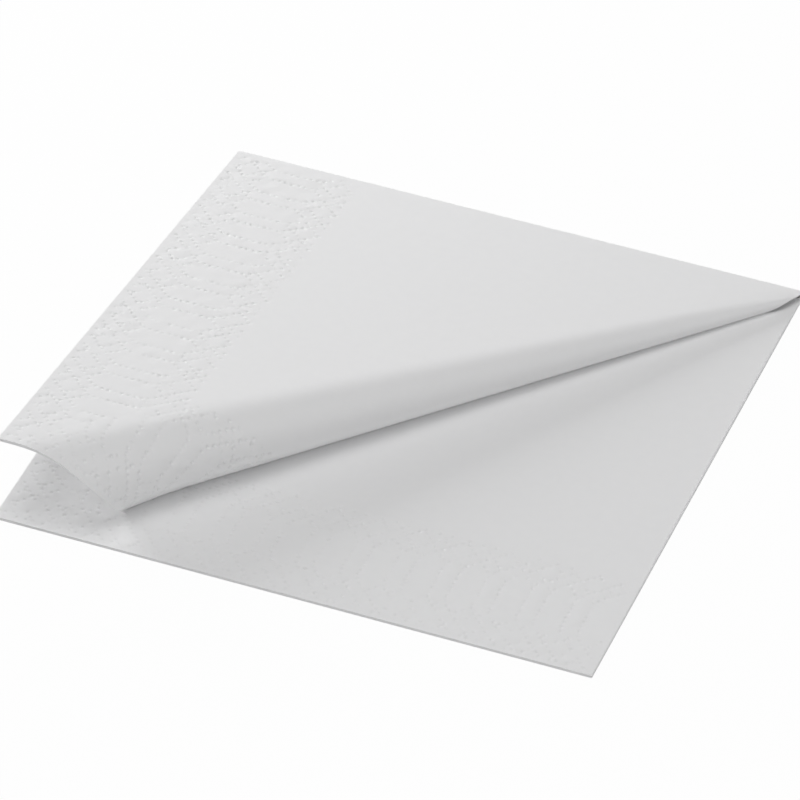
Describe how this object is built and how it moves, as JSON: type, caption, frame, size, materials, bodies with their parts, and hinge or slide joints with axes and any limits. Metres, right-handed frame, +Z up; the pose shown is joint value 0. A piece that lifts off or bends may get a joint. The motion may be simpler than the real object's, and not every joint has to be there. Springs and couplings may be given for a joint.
{
  "type": "paper napkin",
  "caption": "Square paper napkin folded into quarters, lying flat, with its upper half raised from the back fold and one corner rolled under.",
  "frame": {"origin": "centre of the folded square on the surface that it rests on", "axes": "+X from the open side to the closed side, +Y from the open front edges to the back fold, +Z up"},
  "size_m": [0.165, 0.165, 0.0262],
  "materials": {
    "tissue": "soft matt three ply tissue, embossed along the open edges"
  },
  "bodies": {
    "root": {"napkin": "tissue"}
  },
  "joints": []
}
